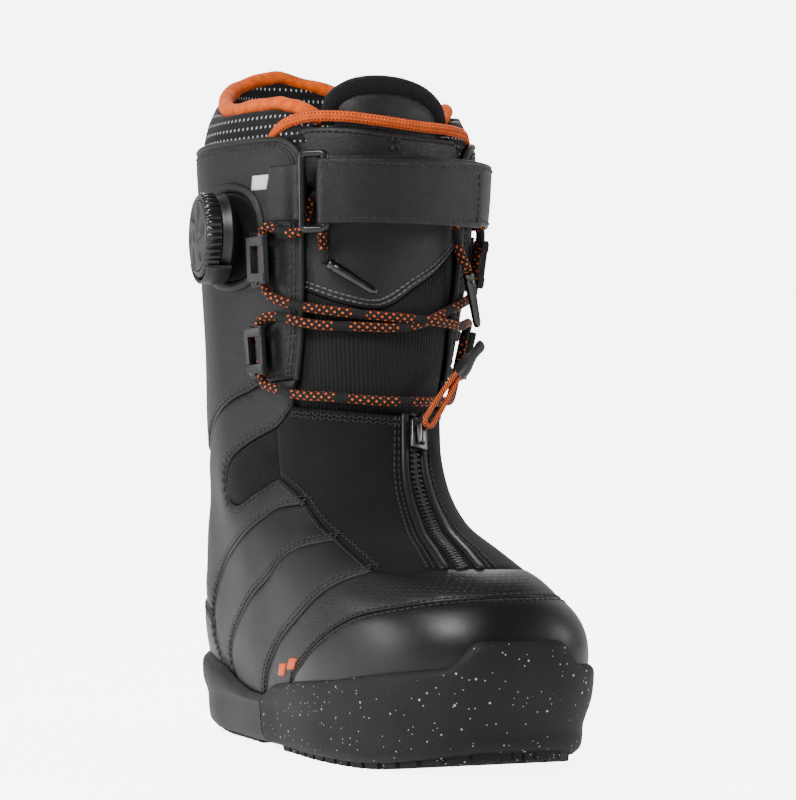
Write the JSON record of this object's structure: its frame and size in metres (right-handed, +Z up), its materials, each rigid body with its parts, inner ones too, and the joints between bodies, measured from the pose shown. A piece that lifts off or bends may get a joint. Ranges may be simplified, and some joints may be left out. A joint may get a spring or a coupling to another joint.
{
  "type": "snowboard boot",
  "caption": "Tall black snowboard boot with a padded liner, a side tightening dial, cord laces in hooks, a shin strap, a zipped gaiter and a lugged rubber sole.",
  "frame": {"origin": "on the ground under the middle of the boot's bounding box, which is taken without the free lace", "axes": "+Z up the shaft, -Y towards the toe, +X towards the inner side of this right boot"},
  "size_m": [0.146, 0.2936, 0.3343],
  "materials": {
    "leather": "black leather-grain synthetic, satin",
    "gloss_synthetic": "smooth black synthetic, soft gloss",
    "softshell": "matte black soft-shell cloth",
    "ribbed_textile": "ribbed black textile",
    "speckled_rubber": "dark grey rubber with light speckles",
    "midsole_foam": "smooth dark grey foam",
    "black_plastic": "moulded black plastic",
    "grey_plastic": "dark grey moulded plastic",
    "orange_plush": "bright orange textile",
    "dark_metal": "dark nickel, polished",
    "board": "pressed fibre board",
    "liner_mesh": "black mesh with white dots over foam",
    "footbed": "black cloth over foam",
    "lace": "black braid with orange flecks",
    "tag": "white woven tag"
  },
  "bodies": {
    "boot": {"aglet_lateral": "dark_metal", "aglet_medial": "dark_metal", "ankle_harness_lateral": "ribbed_textile", "ankle_harness_medial": "ribbed_textile", "ankle_panel_lateral": "leather", "ankle_panel_medial": "leather", "back_stay": "leather", "cuff_lateral": "leather", "cuff_medial": "leather", "cuff_tag": "tag", "dial_bumper": "black_plastic", "dial_housing": "black_plastic", "footbed": "footbed", "gaiter_lateral": "softshell", "gaiter_medial": "softshell", "heel_counter": "gloss_synthetic", "lace": "lace", "lace_hook_lower_lateral": "black_plastic", "lace_hook_lower_medial": "black_plastic", "lace_hook_upper_lateral": "black_plastic", "lace_hook_upper_medial": "black_plastic", "lasting_board": "board", "liner_collar": "orange_plush", "liner_cuff": "liner_mesh", "liner_foot": "liner_mesh", "liner_tongue": "liner_mesh", "midsole_heel": "midsole_foam", "outsole_forefoot": "speckled_rubber", "outsole_heel": "speckled_rubber", "quarter_fore_lateral": "leather", "quarter_fore_medial": "leather", "quarter_rear_lateral": "leather", "quarter_rear_medial": "leather", "rivet_lower_lateral_bottom": "dark_metal", "rivet_lower_lateral_top": "dark_metal", "rivet_lower_medial_bottom": "dark_metal", "rivet_lower_medial_top": "dark_metal", "rivet_upper_lateral_bottom": "dark_metal", "rivet_upper_lateral_top": "dark_metal", "rivet_upper_medial_bottom": "dark_metal", "rivet_upper_medial_top": "dark_metal", "strap_anchor_tab": "leather", "strap_under": "leather", "stretch_window_lateral": "ribbed_textile", "stretch_window_medial": "ribbed_textile", "toe_cap": "gloss_synthetic", "tongue_binding": "orange_plush", "tongue_leather": "leather", "tongue_textile": "ribbed_textile", "vamp": "leather", "zip_chain": "black_plastic"},
    "dial_bushing": {"dial_bushing": "black_plastic"},
    "dial_knob": {"dial_knob": "black_plastic", "dial_cap": "grey_plastic", "dial_spool": "grey_plastic"},
    "zip_slider": {"zip_slider": "black_plastic"},
    "zip_pull": {"zip_pull_cord": "orange_plush", "zip_pull_handle": "black_plastic"},
    "strap_ring": {"strap_ring": "black_plastic"},
    "strap_flap": {"strap_flap": "leather"}
  },
  "joints": [
    {"name": "dial_pull", "type": "slide", "parent": "boot", "child": "dial_bushing", "axis": [-0.9925, 0.1219, 0], "range_m": [0, 0.004]},
    {"name": "dial_turn", "type": "hinge", "parent": "dial_bushing", "child": "dial_knob", "pos_m": [-0.0554, 0.04737, 0.24288], "axis": [-0.9925, 0.1219, 0], "continuous": true},
    {"name": "zip_run", "type": "hinge", "parent": "boot", "child": "zip_slider", "pos_m": [-0.00436, -0.08881, 0.1766], "axis": [-0.9772, 0.2125, 0], "range_deg": [0, 48]},
    {"name": "zip_pull_swing", "type": "hinge", "parent": "zip_slider", "child": "zip_pull", "pos_m": [0.01364, -0.02803, 0.15252], "axis": [0.7591, 0.2157, -0.6142], "range_deg": [0, 110]},
    {"name": "ring_swing", "type": "hinge", "parent": "boot", "child": "strap_ring", "pos_m": [-0.0399, -0.00595, 0.26088], "axis": [0.0234, 0.0277, -0.9993], "range_deg": [0, 10]},
    {"name": "strap_open", "type": "hinge", "parent": "strap_ring", "child": "strap_flap", "pos_m": [-0.03146, -0.01361, 0.26087], "axis": [0.0234, 0.0277, -0.9993], "range_deg": [0, 110]}
  ]
}
